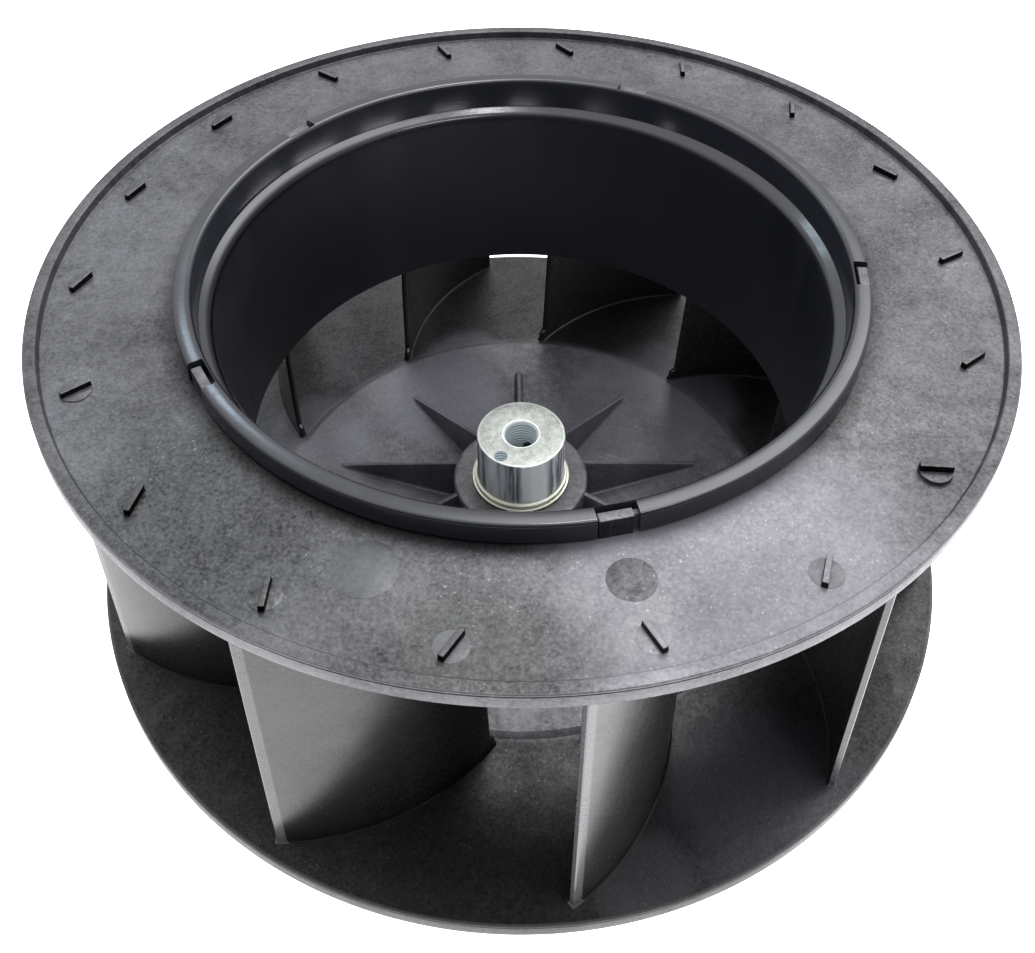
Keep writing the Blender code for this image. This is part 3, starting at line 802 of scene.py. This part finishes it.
OUTER_END, INNER_END = 158.0, 105.2  # radii of the blade's ends at its foot
BLADE_SWEEP, BLADE_SAG, BLADE_THICK = 23.8, 8.3, 2.4
BLADE_STEPS = 44
INNER_SLOPE = 0.0424  # growth of the inner end's radius per mm of height
TOP_STEP, TOP_STEP_START, TOP_STEP_HEIGHT = 113.9 - 110.2, 124.0, 6.0
TOE, TOE_HEIGHT, TOE_FADE = 2.1, 9.4, 1.7  # added length at the foot of the inner end
SHARE_LENGTH = 77.0  # length taken for the whole line when adding the toe
# Levels up the blade: height, extra half thickness
BLADE_LEVELS = [
    (5.7, 0.72), (5.95, 0.60), (6.15, 0.34), (6.45, 0.15), (6.9, 0.04), (7.6, 0.0),
    (9.0, 0.0), (9.9, 0.0), (10.6, 0.0), (11.3, 0.0), (12.5, 0.0), (18, 0.0), (30, 0.0),
    (45, 0.0), (60, 0.0), (75, 0.0), (90, 0.0), (105, 0.0), (116, 0.0), (122, 0.0),
    (124.0, 0.0), (126.0, 0.0), (128.0, 0.0), (129.4, 0.0), (130.2, 0.12), (130.8, 0.40),
    (131.2, 0.8), (131.45, 1.2), (131.6, 1.35),
]


def blade_line():
    """The arc from outer to inner end, as a function from share to (point, normal, tangent)."""
    start = np.array([OUTER_END, 0.0])
    end = INNER_END * np.array([math.cos(rad(BLADE_SWEEP)), math.sin(rad(BLADE_SWEEP))])
    chord = np.linalg.norm(end - start)
    radius = (chord**2 / 4 + BLADE_SAG**2) / (2 * BLADE_SAG)
    along = (end - start) / chord
    across = np.array([along[1], -along[0]])
    centre = (start + end) / 2 + across * (BLADE_SAG - radius)
    half = math.asin(chord / 2 / radius)

    def at(share):
        turn = half * (2 * share - 1)
        normal = across * math.cos(turn) + along * math.sin(turn)
        tangent = along * math.cos(turn) - across * math.sin(turn)
        return centre + normal * radius, normal, tangent

    return at


LINE = blade_line()


def share_at(radius):
    """The share of the line that lies at a radius, by halving."""
    low, high = 0.5, 1.08
    for _ in range(30):
        middle = (low + high) / 2
        if np.linalg.norm(LINE(middle)[0]) > radius:
            low = middle
        else:
            high = middle
    return high


def blade(angle):
    loops = []
    for z, flare in BLADE_LEVELS:
        inner_end = INNER_END + INNER_SLOPE * (z - 5.9)
        if z > TOP_STEP_START:
            inner_end += TOP_STEP * min(1.0, (z - TOP_STEP_START) / TOP_STEP_HEIGHT)
        toe = TOE * (1 - min(max((z - TOE_HEIGHT) / TOE_FADE, 0.0), 1.0) ** 2)
        end = share_at(inner_end) + toe / SHARE_LENGTH
        half = BLADE_THICK / 2 + flare
        convex, concave = [], []
        for k in range(BLADE_STEPS + 1):
            point, normal, tangent = LINE(end * k / BLADE_STEPS)
            convex.append(point + normal * half)
            concave.append(point - normal * half)
        point, normal, tangent = LINE(end)
        tip = [
            point + normal * half * math.cos(turn) + tangent * half * math.sin(turn)
            for turn in np.linspace(0, math.pi, 9)[1:-1]
        ]
        # The outer end is nearly square, with small corners: (across, back) offsets
        point, normal, tangent = LINE(0.0)
        corners = (
            (-half * 0.98, 0.25), (-(half - 0.3), 0.55), (half - 0.3, 0.55), (half * 0.98, 0.25),
        )
        tail = [point + normal * side - tangent * (back + flare) for side, back in corners]
        loops.append([(x, y, z) for x, y in convex + tip + concave[::-1] + tail])
    return place(loft(loops), 0.0, angle)


for k in range(10):
    name = "blade_%02d" % (k + 1)
    vane = blade(-83.6 + 36.0 * k)
    piece(name + "_vane", vane, VANE, (name,), smooth=38)

# ---------------------------------------------------------------- hub

BORE_GROOVES, BORE_PITCH = 35, 1.35
HUB_OUTSIDE = [
    (17.15, 52.1, 0.35), (17.15, 30.7, 1.1), (18.4, 30.7, 0.25), (18.4, 29.4, 0.15),
    (12.0, 29.4, 0.1), (12.0, 3.5, 0.1), (10.6, 3.5, 0.1), (10.6, 1.9, 0.1), (12.0, 1.9, 0.1),
    (12.0, 1.0, 0.35), (BORE_RADIUS, 1.0, 0.0),
]
bore = []
for k in range(BORE_GROOVES):
    bore += [(6.35, 2.6 + BORE_PITCH * k, 0.0), (6.22, 3.2 + BORE_PITCH * k, 0.0)]
hub = lathe(HUB_OUTSIDE + bore + [(6.35, 51.35, 0.1), (BORE_RADIUS, 52.1, 0.12)], segments=180)
hub = piece("hub_body", hub, ZINC, ("hub",), smooth=30)
blind_hole = disc(2.6, low=47.0, high=53.0, edge=0.0, segments=40)
blind_hole = place(blind_hole, BLIND_HOLE_DISTANCE, BLIND_HOLE_ANGLE)
screw_hole = radial_rod([(3.25, 4.9), (3.25, 18.8)], segments=40)
cut(hub, "hub_cutter", merge([blind_hole, screw_hole]), ZINC, smooth=30)

WASHER_OUTLINE = [(19.3, 29.1, 0.25), (19.3, 28.3, 0.2), (12.3, 28.3, 0.1), (12.3, 29.1, 0.1)]
washer = lathe(WASHER_OUTLINE, segments=160)
piece("hub_washer_plate", washer, ZINC, ("hub_washer",))

# Retaining clip: an open ring with its gap towards -Y
CLIP_INNER, CLIP_OUTER, CLIP_LOW, CLIP_HIGH, CLIP_STEPS = 10.9, 15.2, 2.2, 3.2, 120
half_gap = math.asin(CLIP_INNER * math.sin(rad(20)) / 13.0)
outline = rounded([
    (CLIP_OUTER, CLIP_HIGH, 0.25), (CLIP_OUTER, CLIP_LOW, 0.25),
    (CLIP_INNER, CLIP_LOW, 0.2), (CLIP_INNER, CLIP_HIGH, 0.2),
], steps=3)
loops = []
for k in range(CLIP_STEPS + 1):
    turn = rad(-90) + half_gap + (TAU - 2 * half_gap) * k / CLIP_STEPS
    loops.append([(r * math.cos(turn), r * math.sin(turn), z) for r, z in outline])
piece(
    "hub_retaining_clip", loft(loops), CLIP, ("hub_retaining_ring",)
)

# Set screw: threads as fine rings, a cup point and a hexagon socket
SCREW_TIP, SCREW_LENGTH = 8.2, 7.9
SCREW_END = SCREW_TIP + SCREW_LENGTH
THREADS, THREAD_PITCH = 8, 0.9
SOCKET_RADIUS, SOCKET_DEPTH = 1.83, 3.2
stations = [(0.02, 0.35), (1.1, 0.0), (2.3, 0.0), (2.55, 0.3)]  # radius, distance from the tip
for k in range(THREADS):
    x = 0.6 + THREAD_PITCH * k
    stations += [(2.92, x), (2.92, x + 0.12), (2.45, x + 0.48)]
stations += [(2.9, SCREW_LENGTH - 0.45), (2.5, SCREW_LENGTH)]
screw = radial_rod([(radius, SCREW_TIP + x) for radius, x in stations], segments=48)
screw = piece(
    "set_screw_body", screw, OXIDE, ("set_screw",), body="set_screw"
)
socket_ends = (SCREW_END - SOCKET_DEPTH, SCREW_END + 1)
socket = radial_rod([(SOCKET_RADIUS, x) for x in socket_ends], segments=6)
cut(screw, "socket_cutter", socket, OXIDE, smooth=30)

# ---------------------------------------------------------------- floor (metres from here on)

FLOOR_HALF, FLOOR_HEIGHT = 6, -0.0005
mat = Shader("floor_white")
tone = mat.noise(size=400, detail=3, seed=1)
# Painted light: the floor glows, brighter to +X
painted_floor_glow = mat.span(mat.split()[0], low=-0.45, high=0.10, start=0.7, end=1.9)  # brighter to +X
mat.finish(
    Base_Color=mat.mix(tone, (0.90, 0.90, 0.91), (0.93, 0.93, 0.94)), Roughness=0.9,
    Emission_Color=(1.0, 0.97, 0.98, 1.0), Emission_Strength=painted_floor_glow,
)
mesh = bpy.data.meshes.new("floor")
corners = [
    (x * FLOOR_HALF, y * FLOOR_HALF, FLOOR_HEIGHT) for x, y in ((-1, -1), (1, -1), (1, 1), (-1, 1))
]
mesh.from_pydata(corners, [], [(0, 1, 2, 3)])
floor = bpy.data.objects.new("floor", mesh)
mesh.materials.append(mat.material)
bpy.context.scene.collection.objects.link(floor)

# ---------------------------------------------------------------- lights

COOL, NEUTRAL = (0.66, 0.85, 1.0), (0.98, 0.98, 1.0)
# Name, place, target, (width, height), watts, colour
LIGHTS = (
    ("window_left", (-0.475, 1.04, 1.245), (-0.10, -0.04, 0.14), (0.22, 0.15), 1.15, COOL),
    ("front_lamp", (0.48, -0.52, 1.40), (0.0, 0.05, 0.1), (0.55, 0.30), 3.6, NEUTRAL),
    ("top_lamp", (0.145, 0.37, 1.56), (0.0, 0.10, 0.13), (0.11, 0.36), 3.0, NEUTRAL),
)
for name, location, target, (width, height), power, colour in LIGHTS:
    data = bpy.data.lights.new(name, "AREA")
    data.shape = "RECTANGLE"
    data.size = width
    data.size_y = height
    data.energy = power
    data.color = colour
    lamp = bpy.data.objects.new(name, data)
    lamp.location = location
    aim = Vector(target) - Vector(location)
    lamp.rotation_euler = aim.to_track_quat("-Z", "Y").to_euler()
    bpy.context.scene.collection.objects.link(lamp)

# ---------------------------------------------------------------- world

world = bpy.data.worlds.new("studio")
world.use_nodes = True
sky = Nodes(world.node_tree, "Generated")
_, y, z = sky.split()
upward = sky.span(z, low=0.30, high=0.95, start=1.45, end=2.4)
front_dark = sky.span(y, low=-0.80, high=0.05, start=0.12)
low_dark = sky.span(z, low=0.12, high=0.46, start=0.5)
lit = sky.times(sky.times(upward, front_dark), low_dark)
# A soft round bright patch; low and high are cosines from its middle
dot = sky.add("ShaderNodeVectorMath", operation="DOT_PRODUCT")
sky.put(dot.inputs[0], sky.coords)
sky.put(dot.inputs[1], Vector((0.30, 0.45, 0.84)).normalized())
lit = sky.plus(lit, sky.span(dot.outputs["Value"], low=0.90, high=0.97, end=4.5))
# The backdrop the camera sees directly stays plain white
seen = sky.add("ShaderNodeLightPath").outputs["Is Camera Ray"]
lit = sky.plus(sky.times(lit, sky.inverse(seen)), seen)
sky.fill(world.node_tree.nodes["Background"], Color=(0.97, 0.98, 1.0, 1.0), Strength=lit)
bpy.context.scene.world = world

# ---------------------------------------------------------------- camera

# Turns in radians: down from level, left (about +Z), and about the camera's own axis
PITCH, YAW, ROLL = 0.6967, 0.0005, 0.00895
CAMERA_PLACE = (0.0, -0.33559, 0.27887 + SHROUD_LIP_TOP * MM)
data = bpy.data.cameras.new("camera")
data.sensor_width = 36.0
data.sensor_fit = "HORIZONTAL"
data.lens = 44.0775652
data.shift_x = -0.00451208
data.shift_y = -0.20090821
data.clip_start = 0.01
camera = bpy.data.objects.new("camera", data)
camera.matrix_world = (
    Matrix.Translation(CAMERA_PLACE)
    @ Matrix.Rotation(YAW, 4, "Z")
    @ Matrix.Rotation(math.pi / 2 - PITCH, 4, "X")
    @ Matrix.Rotation(ROLL, 4, "Z")
)
bpy.context.scene.collection.objects.link(camera)
bpy.context.scene.camera = camera

view = bpy.context.scene.view_settings
view.view_transform = "Standard"
view.look = "None"
view.exposure = 0.0
view.gamma = 1.0
